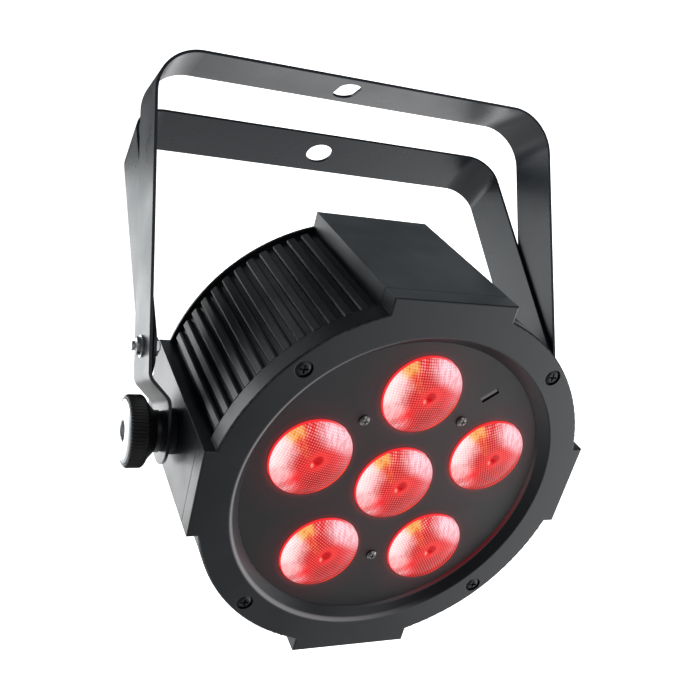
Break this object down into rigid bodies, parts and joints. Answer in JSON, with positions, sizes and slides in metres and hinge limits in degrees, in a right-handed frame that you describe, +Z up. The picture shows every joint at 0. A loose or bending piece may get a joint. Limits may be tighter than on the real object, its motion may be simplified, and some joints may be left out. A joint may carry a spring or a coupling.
{
  "type": "led par light",
  "caption": "Slim ribbed LED par light with red-lit lenses in a lobed round bezel, held by knurled knobs in a double strap yoke.",
  "frame": {"origin": "middle of the top face of the front yoke's bar, beside its hang slot", "axes": "+Z up out of that face, the beam leaves towards -Y and is tilted down, +X along the tilt axis to the right of the light seen from the front"},
  "size_m": [0.2468, 0.1943, 0.2949],
  "materials": {
    "shell_black": "satin black powder coat",
    "plate_black": "matt black anodised",
    "black_screw": "black zinc",
    "bright_steel": "bright zinc plated steel",
    "lens_red": "clear acrylic, lit red",
    "black_plastic": "matt moulded",
    "brass": "turned",
    "board_white": "white solder mask on aluminium",
    "emitter": "silicone domes",
    "bare_aluminium": "as cast",
    "dark_window": "tinted, glossy",
    "yoke_black": "satin black powder coat",
    "button_grey": "matt moulded",
    "board_green": "solder mask",
    "latch_steel": "brushed",
    "nylon_black": "matt",
    "knob_black": "knurled, matt",
    "cap_grey": "satin grey face disc"
  },
  "bodies": {
    "front_yoke": {"front_yoke": "yoke_black", "yoke_bolts": "bright_steel", "yoke_washers": "nylon_black", "yoke_nuts": "bright_steel"},
    "rear_yoke": {"rear_yoke": "yoke_black"},
    "head": {"bezel_screws": "black_screw", "control_board": "board_green", "display_module": "black_plastic", "display_window": "dark_window", "dmx_in_pins": "latch_steel", "dmx_in_socket": "black_plastic", "dmx_out_socket": "black_plastic", "friction_spacer_left": "nylon_black", "friction_spacer_right": "nylon_black", "front_bezel": "shell_black", "fuse_holder": "black_plastic", "heat_sink": "bare_aluminium", "heat_sink_screws": "bright_steel", "infrared_receiver": "black_plastic", "infrared_window": "dark_window", "led_board": "board_white", "led_emitters": "emitter", "lens_centre": "lens_red", "lens_outer_1": "lens_red", "lens_outer_2": "lens_red", "lens_outer_3": "lens_red", "lens_outer_4": "lens_red", "lens_outer_5": "lens_red", "lens_plate": "plate_black", "lens_posts": "brass", "lens_tray": "black_plastic", "pivot_insert_left": "brass", "pivot_insert_right": "brass", "plate_screws": "bright_steel", "power_in_pins": "latch_steel", "power_in_socket": "black_plastic", "power_out_socket": "black_plastic", "power_supply_board": "board_green", "rear_housing": "shell_black", "rear_panel": "yoke_black", "rear_panel_screws": "black_screw", "safety_loop": "bright_steel"},
    "knob_washer_left": {"knob_washer_left": "nylon_black"},
    "knob_left": {"knob_left": "knob_black", "knob_stud_left": "bright_steel", "knob_cap_left": "cap_grey"},
    "knob_washer_right": {"knob_washer_right": "nylon_black"},
    "knob_right": {"knob_right": "knob_black", "knob_stud_right": "bright_steel", "knob_cap_right": "cap_grey"},
    "menu_button": {"menu_button": "button_grey"},
    "up_button": {"up_button": "button_grey"},
    "down_button": {"down_button": "button_grey"},
    "enter_button": {"enter_button": "button_grey"},
    "dmx_latch": {"dmx_latch": "latch_steel"},
    "fuse_cap": {"fuse_cap": "black_plastic"}
  },
  "joints": [
    {"name": "head_tilt", "type": "hinge", "parent": "front_yoke", "child": "head", "pos_m": [0, 0, -0.1844], "axis": [1, 0, 0], "range_deg": [-124.1, 55.9]},
    {"name": "rear_yoke_swing", "type": "hinge", "parent": "front_yoke", "child": "rear_yoke", "pos_m": [0, 0, -0.1444], "axis": [-1, 0, 0], "range_deg": [-113.5, 66.5]},
    {"name": "knob_slide_left", "type": "slide", "parent": "head", "child": "knob_washer_left", "axis": [-1, 0, 0], "range_m": [0, 0.0025]},
    {"name": "knob_turn_left", "type": "hinge", "parent": "knob_washer_left", "child": "knob_left", "pos_m": [-0.106, 0, -0.1844], "axis": [-1, 0, 0], "range_deg": [0, 720]},
    {"name": "knob_slide_right", "type": "slide", "parent": "head", "child": "knob_washer_right", "axis": [1, 0, 0], "range_m": [0, 0.0025]},
    {"name": "knob_turn_right", "type": "hinge", "parent": "knob_washer_right", "child": "knob_right", "pos_m": [0.106, 0, -0.1844], "axis": [1, 0, 0], "range_deg": [0, 720]},
    {"name": "menu_button_press", "type": "slide", "parent": "head", "child": "menu_button", "axis": [0, -0.8281, -0.5606], "range_m": [0, 0.001], "stiffness_N_per_m": 900, "springref_m": -0.0005},
    {"name": "up_button_press", "type": "slide", "parent": "head", "child": "up_button", "axis": [0, -0.8281, -0.5606], "range_m": [0, 0.001], "stiffness_N_per_m": 900, "springref_m": -0.0005},
    {"name": "down_button_press", "type": "slide", "parent": "head", "child": "down_button", "axis": [0, -0.8281, -0.5606], "range_m": [0, 0.001], "stiffness_N_per_m": 900, "springref_m": -0.0005},
    {"name": "enter_button_press", "type": "slide", "parent": "head", "child": "enter_button", "axis": [0, -0.8281, -0.5606], "range_m": [0, 0.001], "stiffness_N_per_m": 900, "springref_m": -0.0005},
    {"name": "dmx_latch_press", "type": "slide", "parent": "head", "child": "dmx_latch", "axis": [0, -0.8281, -0.5606], "range_m": [0, 0.001], "stiffness_N_per_m": 600, "springref_m": -0.0005},
    {"name": "fuse_cap_turn", "type": "hinge", "parent": "head", "child": "fuse_cap", "pos_m": [0, 0.05542, -0.17707], "axis": [0, 0.8281, 0.5606], "range_deg": [0, 60]}
  ],
  "couplings": [
    {"joint": "knob_turn_left", "follows": "knob_slide_left", "rad_per_m": 5026.5},
    {"joint": "knob_turn_right", "follows": "knob_slide_right", "rad_per_m": 5026.5}
  ]
}
